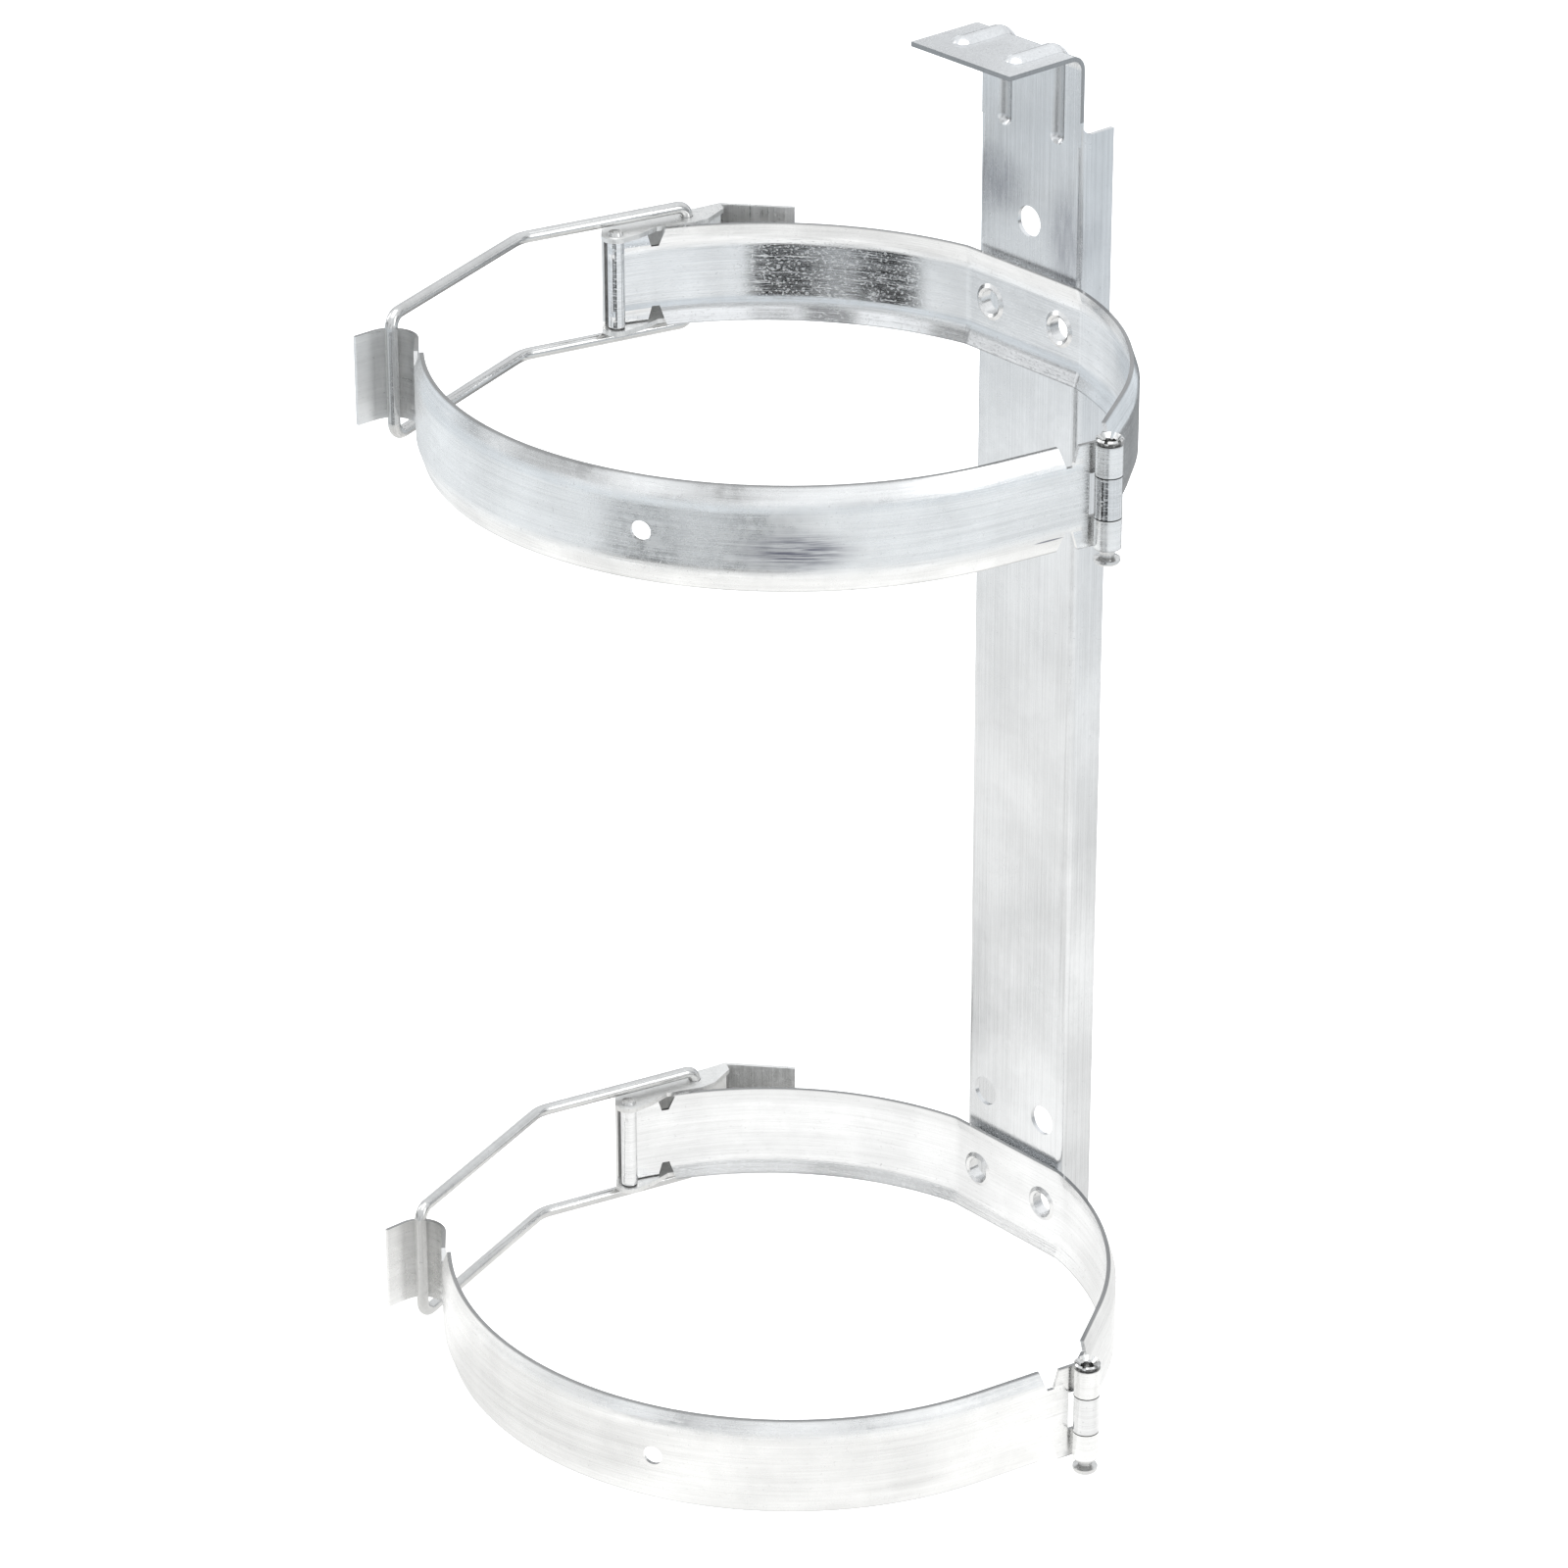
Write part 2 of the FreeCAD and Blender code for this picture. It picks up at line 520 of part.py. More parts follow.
def hinge_pin(name, level):
    # Hollow rivet: round head below, its upper end split into petals and spread
    shank = "hinge_pin / 2"
    top = "band_height / 2 + 0.1"
    low = "band_height / 2 + 0.1"
    body = turned_piece(name, "hinge_x", "hinge_y", level, [
        ("0", f"0 - ({low}) - 3.7"), (f"{shank} + 0.6", f"0 - ({low}) - 3.7"),
        (f"{shank} + 0.9", f"0 - ({low}) - 3.2"), (f"{shank} + 0.9", f"0 - ({low}) - 2.5"),
        (f"{shank} - 0.5", f"0 - ({low}) - 1.9"), (f"{shank} - 0.3", f"0 - ({low}) - 0.4"),
        (f"{shank}", f"0 - ({low})"), (shank, f"{top}"),
        (f"{shank} + 0.7", f"{top} + 0.5"), (f"{shank} + 1.1", f"{top} + 1.1"),
        (f"{shank} + 0.7", f"{top} + 1.5"), (f"{shank} - 0.6", f"{top} + 0.5"),
        (f"{shank} - 0.7", f"{top} - 4"), ("0", f"{top} - 4.5"),
    ])
    sketch = new_sketch(body, "slit", level=f"{top} + 0.25")
    wide = "0.3"
    polygon(sketch, [(f"{shank} - 1", f"0 - {wide}"), (f"{shank} + 3", f"0 - {wide} * 2"),
                     (f"{shank} + 3", f"{wide} * 2"), (f"{shank} - 1", wide)])
    slit = feature(body, "Pocket", "slit_cut", sketch, "3", reverse=True)
    doc.recompute()
    petals = body.newObject("PartDesign::PolarPattern", f"{name}_petals")
    petals.Originals = [slit]
    petals.Axis = (sketch, ["N_Axis"])
    petals.Angle = 360
    petals.Occurrences = 6
    body.Tip = petals
    return body


def lever_pin(name, level):
    # Plain pin with both ends spread over the ears
    shank = "lever_pin / 2"
    low = "ear_top + 0.05"
    high = "ear_top + 0.8"
    return turned_piece(name, "pin_x", "pin_y", level, [
        ("0", f"0 - ({high})"), (f"{shank} + 0.6", f"0 - ({high})"), (f"{shank} + 0.9", f"0 - ({low})"),
        (shank, f"0 - ({low})"), (shank, low), (f"{shank} + 0.9", low),
        (f"{shank} + 0.6", high), ("0", high),
    ])


def eyelet(name, side, level):
    # Hollow rivet through strap and channel, flared on the strap and rolled behind the channel
    bore = "eyelet_bore / 2"
    flare = "eyelet_flare / 2"
    shank = "eyelet_bore / 2 + eyelet_wall"
    body = turned_piece(name, f"{side} eyelet_pitch / 2", "0", level, [
        (bore, "0 - channel_sheet - 0.7"), (f"{shank} + 0.2", "0 - channel_sheet - 0.5"),
        (f"{shank} + 0.2", "0 - channel_sheet"), (shank, "0 - channel_sheet"),
        (shank, "strap_sheet"), (flare, "strap_sheet"),
        (f"{bore} + 0.7", "strap_sheet + 0.55"), (bore, "strap_sheet + 0.1"),
    ])
    rest = body.Placement
    body.Placement = Placement(rest.Base, Rotation(Vector(1, 0, 0), 90))
    return body


def press_bead(body, name, kind, radius):
    # Both beads: a round run on the web, a quarter turn over the bend, a run on the lip, two domes
    under = "channel_top - channel_sheet"
    foot = "channel_top - bead_drop"
    upright = Rotation()
    forward = Rotation(Vector(1, 0, 0), 90)
    for side, sign in (("left", "0 - "), ("right", "")):
        x = f"{sign}bead_pitch / 2"
        runs = [
            ("Cylinder", upright, "0 - bead_sink", foot, {"Height": f"{under} - lip_bend - ({foot})"}),
            ("Cylinder", forward, "0 - lip_bend", f"{under} - bead_sink", {"Height": "bead_reach"}),
            ("Sphere", upright, "0 - bead_sink", foot, {}),
            ("Sphere", upright, "0 - lip_bend - bead_reach", f"{under} - bead_sink", {}),
        ]
        for index, (shape, turning, y, z, sizes) in enumerate(runs):
            item = body.newObject(f"PartDesign::{kind}{shape}", f"{name}_{side}_{kind}_{index}")
            item.Placement = Placement(Vector(), turning)
            item.setExpression("Radius", cells(radius))
            for key, formula in (("x", x), ("y", y), ("z", z)):
                item.setExpression(f"Placement.Base.{key}", cells(formula))
            for key, formula in sizes.items():
                item.setExpression(key, cells(formula))
        # Over the bend the outline turns about the bend's own axis
        half = f"sqrt(({radius}) ^ 2 - bead_sink ^ 2)"
        sketch = new_sketch(body, f"{side}_{kind}_bend", "XY_Plane", level=f"{under} - lip_bend")
        draw(sketch, (f"{x} - {half}", "0"), [
            ("line", (f"{x} + {half}", "0")),
            ("arc", (f"{x} - {half}", "0"), radius, True, False),
        ])
        axis = new_sketch(body, f"{side}_{kind}_axis", "XY_Plane", level=f"{under} - lip_bend")
        draw(axis, ("0 - channel_width", "0 - lip_bend"), [("line", ("channel_width", "0 - lip_bend"))],
             closed=False)
        turned_kind = "Revolution" if kind == "Additive" else "Groove"
        item = body.newObject(f"PartDesign::{turned_kind}", f"{name}_{side}_{kind}_turn")
        item.Profile = sketch
        item.ReferenceAxis = (axis, ["Edge1"])
        item.Angle = 90
        axis.Visibility = False


def back_channel(name):
    body = new_body(name)
    wide = "channel_width / 2"
    round_out = "channel_bend + channel_sheet"
    # Web with both flanges bent back
    sketch = new_sketch(body, "section", level="0 - channel_foot")
    draw(sketch, (f"{wide}", "channel_depth"), [
        ("line", (f"{wide} - channel_sheet", "channel_depth")),
        ("line", (f"{wide} - channel_sheet", round_out)),
        ("arc", (f"{wide} - ({round_out})", "channel_sheet"), "channel_bend", False, False),
        ("line", (f"0 - ({wide} - ({round_out}))", "channel_sheet")),
        ("arc", (f"0 - ({wide} - channel_sheet)", round_out), "channel_bend", False, False),
        ("line", (f"0 - ({wide} - channel_sheet)", "channel_depth")),
        ("line", (f"0 - {wide}", "channel_depth")),
        ("line", (f"0 - {wide}", round_out)),
        ("arc", (f"0 - ({wide} - ({round_out}))", "0"), round_out, True, False),
        ("line", (f"{wide} - ({round_out})", "0")),
        ("arc", (wide, round_out), round_out, True, False),
        ("line", (wide, "channel_depth")),
    ])
    feature(body, "Pad", "section_pad", sketch, "channel_foot + channel_top - flange_drop + shoulder")
    # Rounded shoulders where the flanges end
    level = "channel_top - flange_drop"
    sketch = new_sketch(body, "shoulders", "YZ_Plane")
    draw(sketch, ("0.4", f"{level} + shoulder + 1"), [
        ("line", ("0.4", f"{level} + shoulder")),
        ("arc", ("0.4 + shoulder", level), "shoulder", True, False),
        ("line", ("channel_depth + 1", level)),
        ("line", ("channel_depth + 1", f"{level} + shoulder + 1")),
        ("line", ("0.4", f"{level} + shoulder + 1")),
    ])
    feature(body, "Pocket", "shoulder_cut", sketch, "channel_width + 2", both=True)
    # Flat tongue above the flanges, bent forward into the lip
    sketch = new_sketch(body, "lip", "YZ_Plane")
    low = "channel_top - flange_drop - 3"
    turn = "lip_bend + channel_sheet"
    draw(sketch, ("0", low), [
        ("line", ("channel_sheet", low)),
        ("line", ("channel_sheet", f"channel_top - ({turn})")),
        ("arc", (f"channel_sheet - ({turn})", "channel_top"), turn, True, False),
        ("line", ("0 - lip_reach", "channel_top")),
        ("line", ("0 - lip_reach", "channel_top - channel_sheet")),
        ("line", (f"channel_sheet - ({turn})", "channel_top - channel_sheet")),
        ("arc", ("0", f"channel_top - ({turn})"), "lip_bend", False, False),
        ("line", ("0", low)),
    ])
    feature(body, "Pad", "lip_pad", sketch, "lip_width", both=True)
    # Two stiffening beads over the lip's bend. Each one's outside is added as full rounds, what
    # stands in front of the sheet is cut away, and then its inside is cut.
    press_bead(body, name, "Additive", "bead_round")
    under = "channel_top - channel_sheet"
    low = "channel_top - bead_drop - 2 * bead_round"
    sketch = new_sketch(body, "front", "YZ_Plane")
    draw(sketch, ("0", low), [
        ("line", ("0", f"{under} - lip_bend")),
        ("arc", ("0 - lip_bend", under), "lip_bend", True, False),
        ("line", ("0 - lip_reach", under)),
        ("line", ("0 - lip_reach", low)),
        ("line", ("0", low)),
    ])
    feature(body, "Pocket", "front_cut", sketch, "channel_width", both=True)
    press_bead(body, name, "Subtractive", "bead_round - channel_sheet")
    # Screw holes and the holes that the eyelets fill
    sketch = new_sketch(body, "holes", "XZ_Plane")
    circle(sketch, ("0", "0"), "screw_hole")
    for sign in ("", "0 - "):
        circle(sketch, (f"{sign}screw_pitch / 2", "0 - hole_drop"), "screw_hole")
        for strap in ("upper_level", "lower_level"):
            circle(sketch, (f"{sign}eyelet_pitch / 2", strap),
                   "eyelet_bore + 2 * eyelet_wall + 2 * pin_play")
    feature(body, "Pocket", "hole_cut", sketch, "channel_sheet * 4", both=True)
    return body


def bail(name, level):
    # One wire: two legs over and under the strap, joined by the bar that lies in the hook.
    # Its path is straight runs and tangent arcs, from inside one ear round to the other.
    run = size("bail_run")
    leg = size("leg_level")
    inside = size("ear_foot") - 0.9
    kink = Vector(size("kink_along"), -size("kink_out"), 0)
    lift = Vector(0, 0, leg)
    half = [Vector(0, 0, inside), Vector(0, 0, leg), kink + lift, Vector(run, 0, leg)]
    route = half + [Vector(p.x, p.y, -p.z) for p in reversed(half)]
    bends = [size("wire_bend"), size("kink_bend"), size("corner_bend")]
    bends = bends + bends[::-1]
    edges = []
    start = route[0]
    for index, radius in enumerate(bends, start=1):
        corner = route[index]
        back = (route[index - 1] - corner).normalize()
        on = (route[index + 1] - corner).normalize()
        opening = back.getAngle(on) / 2
        reach = radius / math.tan(opening)
        first = corner + back * reach
        last = corner + on * reach
        centre = corner + (back + on).normalize() * (radius / math.sin(opening))
        middle = centre + (corner - centre).normalize() * radius
        edges.append(Part.LineSegment(start, first).toShape())
        edges.append(Part.Arc(first, middle, last).toShape())
        start = last
    edges.append(Part.LineSegment(start, route[-1]).toShape())
    spine = Part.Wire(edges)
    ring = Part.Wire([Part.Circle(route[0], Vector(0, 0, 1), size("wire") / 2).toShape()])
    solid = spine.makePipeShell([ring], True, False)
    item = doc.addObject("Part::Feature", name)
    item.Label = name
    item.Shape = solid
    heading = size("bail_lean") - 90
    spot = Vector(size("pivot_x"), size("pivot_y"), size(level))
    item.Placement = Placement(spot, Rotation(Vector(0, 0, 1), heading))
    return item


pieces = [back_channel("back_channel")]
for strap in ("upper", "lower"):
    height = f"{strap}_level"
    pieces.append(fixed_strap(f"{strap}_fixed_strap", height))
    pieces.append(door_strap(f"{strap}_door_strap", height))
    pieces.append(hinge_pin(f"{strap}_hinge_pin", height))
    pieces.append(eyelet(f"{strap}_left_eyelet", "0 -", height))
    pieces.append(eyelet(f"{strap}_right_eyelet", "0 +", height))
    pieces.append(lever(f"{strap}_latch_lever", height))
    pieces.append(lever_pin(f"{strap}_lever_pin", height))
    pieces.append(bail(f"{strap}_bail", height))
doc.recompute()

for item in doc.Objects:
    if "Invalid" in item.State or "Error" in item.State:
        raise RuntimeError(f"{item.Label} failed: {item.State}")

os.makedirs("parts", exist_ok=True)
for piece in pieces:
    shape = piece.Shape
    if shape.isNull() or not shape.isValid() or len(shape.Solids) != 1:
        raise RuntimeError(f"{piece.Label} isn't one valid solid: {len(shape.Solids)}")
    shape.exportStep(f"parts/{piece.Label}.step")
    print(piece.Label, round(shape.Volume, 1), "mm3", len(shape.Faces), "faces")
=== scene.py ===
import math
import bpy
from mathutils import Matrix, Vector

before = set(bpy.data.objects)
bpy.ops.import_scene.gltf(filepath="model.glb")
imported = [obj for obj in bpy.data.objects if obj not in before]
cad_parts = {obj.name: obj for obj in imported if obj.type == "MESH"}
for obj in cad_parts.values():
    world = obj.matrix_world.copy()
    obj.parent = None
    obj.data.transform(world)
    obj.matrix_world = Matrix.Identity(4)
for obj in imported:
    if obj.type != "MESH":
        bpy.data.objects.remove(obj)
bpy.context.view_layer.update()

# Sizes and places of the bracket that the looks refer to; metres, in the frame of the CAD
RINGS = ("upper", "lower")
UPPER_LEVEL = -0.0245
RING_PITCH = 0.248
RING_RADIUS = 0.0895
RING_WALL_REACH = 0.0035
RIM_EDGE = 0.0130
CREASE = 0.0084
FIXED_CENTRE = (0.0, -0.08775, 0.0)
DOOR_CENTRE = (-0.0021, -0.0766, 0.0)
LIP_EDGE = -0.0239
WALL_EDGE = 0.0104
TONGUE_SIDE = 0.0172
TONGUE_FOOT = 0.0300
GROOVE_FOOT = 0.0200
GROOVE_WIDE = 0.0140
GROOVE_FLOOR = 0.0014
FLOOR_Z = -0.2900


# Node helpers

# The Mix node has a set of sockets for each kind of data; these are the ones for colour
MIX_FIRST = 6
MIX_SECOND = 7
MIX_RESULT = 2


def add(tree, kind, **settings):
    node = tree.nodes.new(kind)
    for key, value in settings.items():
        setattr(node, key, value)
    return node


def feed(tree, node, socket, value):
    # A link where the value is another node's output, else a constant
    if isinstance(value, bpy.types.NodeSocket):
        tree.links.new(value, node.inputs[socket])
    else:
        node.inputs[socket].default_value = value


def math_node(tree, operation, a, b=0.0, clamp=False):
    node = add(tree, "ShaderNodeMath", operation=operation, use_clamp=clamp)
    feed(tree, node, 0, a)
    feed(tree, node, 1, b)
    return node.outputs[0]


def plus(tree, a, b, clamp=False):
    return math_node(tree, "ADD", a, b, clamp)


def minus(tree, a, b, clamp=False):
    return math_node(tree, "SUBTRACT", a, b, clamp)


def times(tree, a, b):
    return math_node(tree, "MULTIPLY", a, b)


def larger(tree, a, b):
    return math_node(tree, "MAXIMUM", a, b)


def over(tree, a, b):
    return math_node(tree, "GREATER_THAN", a, b)


def under(tree, a, b):
    return math_node(tree, "LESS_THAN", a, b)


def positive(tree, a):
    return math_node(tree, "ABSOLUTE", a)


def vector_node(tree, operation, a, b):
    node = add(tree, "ShaderNodeVectorMath", operation=operation)
    feed(tree, node, 0, a)
    feed(tree, node, 1, b)
    return node.outputs


def scaled(tree, vector, scale):
    return vector_node(tree, "MULTIPLY", vector, scale)[0]


def shifted(tree, vector, spot):
    return vector_node(tree, "SUBTRACT", vector, spot)[0]


def length(tree, vector):
    node = add(tree, "ShaderNodeVectorMath", operation="LENGTH")
    feed(tree, node, 0, vector)
    return node.outputs["Value"]


def away_from(tree, place, spot, stretch):
    # Distance from a spot, with each axis stretched by its own factor
    return length(tree, scaled(tree, shifted(tree, place, spot), stretch))


def axes(tree, vector):
    split = add(tree, "ShaderNodeSeparateXYZ")
    feed(tree, split, 0, vector)
    return split.outputs


def face_normal(tree):
    return add(tree, "ShaderNodeNewGeometry").outputs["True Normal"]


def noise(tree, vector, per_m=1.0, detail=3.0, roughness=0.5):
    node = add(tree, "ShaderNodeTexNoise")
    feed(tree, node, "Vector", vector)
    feed(tree, node, "Scale", per_m)
    feed(tree, node, "Detail", detail)
    feed(tree, node, "Roughness", roughness)
    return node.outputs["Fac"]


def remap(tree, value, span, result):
    # Turns the values of a span smoothly into those of the result, and holds them beyond it
    node = add(tree, "ShaderNodeMapRange", interpolation_type="SMOOTHSTEP")
    feed(tree, node, "Value", value)
    feed(tree, node, "From Min", span[0])
    feed(tree, node, "From Max", span[1])
    feed(tree, node, "To Min", result[0])
    feed(tree, node, "To Max", result[1])
    return node.outputs[0]


def mask(tree, value, span):
    return remap(tree, value, span, (0.0, 1.0))


def mixed(tree, factor, a, b):
    node = add(tree, "ShaderNodeMix", data_type="RGBA")
    feed(tree, node, "Factor", factor)
    feed(tree, node, MIX_FIRST, a)
    feed(tree, node, MIX_SECOND, b)
    return node.outputs[MIX_RESULT]


def either_shader(tree, factor, when_off, when_on, sink):
    choose = add(tree, "ShaderNodeMixShader")
    feed(tree, choose, 0, factor)
    feed(tree, choose, 1, when_off)
    feed(tree, choose, 2, when_on)
    feed(tree, sink, "Surface", choose.outputs[0])


# Zinc-coated sheet: rolling lines that run with the strip, faint mottling, specks and smudges

ZINC_INPUTS = {
    "Vector": "NodeSocketVector",
    "Grain": "NodeSocketVector",
    "Tint": "NodeSocketColor",
    "Rough": "NodeSocketFloat",
    "Lines": "NodeSocketFloat",
    "Dirt": "NodeSocketFloat",
    "Edge": "NodeSocketFloat",
    "Smudge": "NodeSocketFloat",
    "Specks": "NodeSocketFloat",
}
ZINC_OUTPUTS = {
    "Color": "NodeSocketColor",
    "Roughness": "NodeSocketFloat",
    "Height": "NodeSocketFloat",
}
NOISE_MIDDLE = 0.5
BAND_STRETCH = (0.5, 0.5, 0.22)
HAIR_STRETCH = (1.6, 1.6, 0.6)
GLINT_STRETCH = (1.0, 1.0, 1.6)
HAIR_SPAN = (0.60, 0.72)
GLINT_SPAN = (0.60, 0.70)
SPECK_SPAN = (0.66, 0.72)
MOTTLE_SPAN = (0.3, 0.7)
SPANGLE_SPAN = (0.3, 0.7)
BLOTCH_SPAN = (0.35, 0.7)
GRIME_SPAN = (0.5, 0.75)

CLEAN_SHADE = 0.93
SHADE_BY = {"lines": 0.26, "band": 0.18, "hair": 0.10, "specks": 0.45, "edge": 0.62}
SHADE_BY_MOTTLE = (-0.05, 0.05)
GRIME_COVER = (0.0, 0.35)
GRIME_TONE = (0.44, 0.43, 0.41, 1.0)
SMUDGE_TONE = (0.16, 0.165, 0.21, 1.0)
ROUGH_BY = {"lines": 1.1, "glint": 0.10, "smudge": 0.25, "specks": 0.3}
ROUGH_BY_BLOTCH = (-0.20, 0.30)
ROUGH_BY_SPANGLE = (-0.12, 0.14)
HEIGHT_BY = {"mottle": 1.6, "band": 0.8, "glint": 0.9, "hair": 0.8}


def new_group(name, inputs, outputs):
    group = bpy.data.node_groups.new(name, "ShaderNodeTree")
    for label, kind in inputs.items():
        group.interface.new_socket(label, in_out="INPUT", socket_type=kind)
    for label, kind in outputs.items():
        group.interface.new_socket(label, in_out="OUTPUT", socket_type=kind)
    return group, add(group, "NodeGroupInput").outputs, add(group, "NodeGroupOutput")


def sheet_marks(group, place, given):
    # The marks of the sheet by name: rolling lines, bands and hairs, mottle, spangle, specks
    grain = scaled(group, place, given["Grain"])
    fine = noise(group, grain, detail=4.0, roughness=0.65)
    coarse = noise(group, scaled(group, grain, BAND_STRETCH), detail=2.0, roughness=0.5)
    hair = noise(group, scaled(group, grain, HAIR_STRETCH), detail=5.0, roughness=0.7)
    specks = noise(group, place, per_m=1500.0, detail=2.0, roughness=0.6)
    glint = noise(group, scaled(group, place, GLINT_STRETCH), per_m=1150.0, detail=1.0, roughness=0.5)
    return {
        "lines": times(group, minus(group, fine, NOISE_MIDDLE), given["Lines"]),
        "band": times(group, minus(group, coarse, NOISE_MIDDLE), given["Lines"]),
        "hair": times(group, mask(group, hair, HAIR_SPAN), given["Lines"]),
        "specks": times(group, mask(group, specks, SPECK_SPAN), given["Dirt"]),
        "glint": times(group, mask(group, glint, GLINT_SPAN), given["Specks"]),
        "mottle": noise(group, place, per_m=55.0, detail=4.0, roughness=0.6),
        "spangle": noise(group, place, per_m=420.0, detail=2.0, roughness=0.5),
        "blotch": noise(group, place, per_m=16.0, detail=3.0, roughness=0.55),
    }


def sheet_color(group, marks, given):
    shade = plus(group, CLEAN_SHADE, times(group, marks["lines"], SHADE_BY["lines"]))
    shade = plus(group, shade, times(group, marks["band"], SHADE_BY["band"]))
    shade = plus(group, shade, remap(group, marks["mottle"], MOTTLE_SPAN, SHADE_BY_MOTTLE))
    shade = minus(group, shade, times(group, marks["hair"], SHADE_BY["hair"]))
    shade = minus(group, shade, times(group, marks["specks"], SHADE_BY["specks"]), clamp=True)
    # Darkens by the Edge input: cut edges in their own tone, and painted shade along the rims and in the
    # grooves
    shade = times(group, shade, minus(group, 1.0, times(group, given["Edge"], SHADE_BY["edge"])))
    tone = add(group, "ShaderNodeVectorMath", operation="SCALE")
    feed(group, tone, 0, given["Tint"])
    feed(group, tone, "Scale", shade)
    grime = times(group, remap(group, marks["blotch"], GRIME_SPAN, GRIME_COVER), given["Dirt"])
    color = mixed(group, grime, tone.outputs[0], GRIME_TONE)
    return mixed(group, given["Smudge"], color, SMUDGE_TONE)


def sheet_roughness(group, marks, given):
    vary = plus(group, 1.0, times(group, marks["lines"], ROUGH_BY["lines"]))
    vary = plus(group, vary, remap(group, marks["blotch"], BLOTCH_SPAN, ROUGH_BY_BLOTCH))
    vary = plus(group, vary, remap(group, marks["spangle"], SPANGLE_SPAN, ROUGH_BY_SPANGLE))
    rough = times(group, given["Rough"], vary)
    rough = plus(group, rough, times(group, marks["glint"], ROUGH_BY["glint"]))
    rough = plus(group, rough, times(group, given["Smudge"], ROUGH_BY["smudge"]))
    return plus(group, rough, times(group, marks["specks"], ROUGH_BY["specks"]), clamp=True)


def sheet_height(group, marks):
    mottle = minus(group, marks["mottle"], NOISE_MIDDLE)
    height = plus(group, marks["lines"], times(group, mottle, HEIGHT_BY["mottle"]))
    height = plus(group, height, times(group, marks["band"], HEIGHT_BY["band"]))
    height = plus(group, height, times(group, marks["glint"], HEIGHT_BY["glint"]))
    return minus(group, height, times(group, marks["hair"], HEIGHT_BY["hair"]))


def zinc_group():
    group, given, sink = new_group("zinc_sheet", ZINC_INPUTS, ZINC_OUTPUTS)
    marks = sheet_marks(group, given["Vector"], given)
    feed(group, sink, "Color", sheet_color(group, marks, given))
    feed(group, sink, "Roughness", sheet_roughness(group, marks, given))
    feed(group, sink, "Height", sheet_height(group, marks))
    return group


ZINC = zinc_group()


# Marks that belong to one piece: cut edges, painted shade along the rims and in the grooves, clouds,
# creases and the smear

STRAP_EDGE_SPAN = (0.6, 0.8)
# Painted shade in a thin band along each rim beside its cut edge, for the rounding of the sheet
RIM_SHADE_WIDTH = 0.0005
STRAP_RIM_SHADE = 0.55
CHANNEL_DULL = 0.8

FRONT_FACING = -0.3
# Painted shade in the pressed grooves of the tongue, deeper where the groove is sunk further
GROOVE_START = 0.0001
GROOVE_SHADE = 0.42

# Each cloud is x, z, and how sharply it ends across and along the channel
CLOUDS = ((-0.0120, 0.0080, 75.0, 95.0), (0.0130, -0.0010, 130.0, 60.0))
CLOUD_DEPTH = 60.0
CLOUD_SPAN = (0.2, 1.1)
CLOUD_DULL = 0.46
CLOUD_GRAIN = (900.0, 900.0, 110.0)
CLOUD_GRAIN_SPAN = (0.35, 0.65)
CLOUD_GRAIN_COVER = (0.6, 1.0)

CREASE_SOFT = 0.0019
CREASE_RISE = 0.00015
CREASE_ROUND = 2.0

SMEAR_SPOT = (0.0655, -0.1358, -0.0270)
SMEAR_STRETCH = (60.0, 60.0, 160.0)
SMEAR_SPAN = (0.1, 1.1)
STREAK_GRAIN = (90.0, 90.0, 2600.0)
STREAK_SPAN = (0.40, 0.62)
STREAK_COVER = (0.30, 1.0)
SCRATCH_SPOT = (0.0880, -0.0780, -0.0335)
SCRATCH_STRETCH = (60.0, 230.0, 3600.0)
SCRATCH_SPAN = (0.6, 1.1)
SCRATCH_DARK = 0.8


def ring_level(tree, place):
    # Height above or below the middle of the ring that the point belongs to
    z = axes(tree, place)["Z"]
    lift = times(tree, under(tree, z, UPPER_LEVEL - RING_PITCH / 2), RING_PITCH)
    return positive(tree, plus(tree, plus(tree, z, -UPPER_LEVEL), lift))


def strap_cut_and_shade(tree, place):
    # The cut edges are the only faces of a strap that look up or down; beside them a thin band of painted
    # shade stands for the rounding of the rim
    upright = positive(tree, axes(tree, face_normal(tree))["Z"])
    cut = mask(tree, upright, STRAP_EDGE_SPAN)
    painted_rim_shade = remap(tree, ring_level(tree, place), (RIM_EDGE - RIM_SHADE_WIDTH, RIM_EDGE), (0.0, STRAP_RIM_SHADE))
    return larger(tree, cut, painted_rim_shade)


def channel_clouds(tree, place):
    # Soft darker clouds left by handling beside the upper screw hole
    total = 0.0
    for x, z, across, along in CLOUDS:
        away = away_from(tree, place, (x, 0.0, z), (across, CLOUD_DEPTH, along))
        total = plus(tree, total, remap(tree, away, CLOUD_SPAN, (CLOUD_DULL, 0.0)))
    ragged = noise(tree, scaled(tree, place, CLOUD_GRAIN), detail=3.0, roughness=0.6)
    return times(tree, total, remap(tree, ragged, CLOUD_GRAIN_SPAN, CLOUD_GRAIN_COVER))


def groove_painted_shade(tree, spot):
    # Painted shade that darkens the pressed grooves in the front of the tongue
    front = under(tree, axes(tree, face_normal(tree))["Y"], FRONT_FACING)
    shade_by_depth = remap(tree, spot["Y"], (GROOVE_START, GROOVE_FLOOR), (0.0, GROOVE_SHADE))
    high = over(tree, spot["Z"], GROOVE_FOOT)
    inner = under(tree, positive(tree, spot["X"]), GROOVE_WIDE)
    return times(tree, times(tree, front, shade_by_depth), times(tree, high, inner))


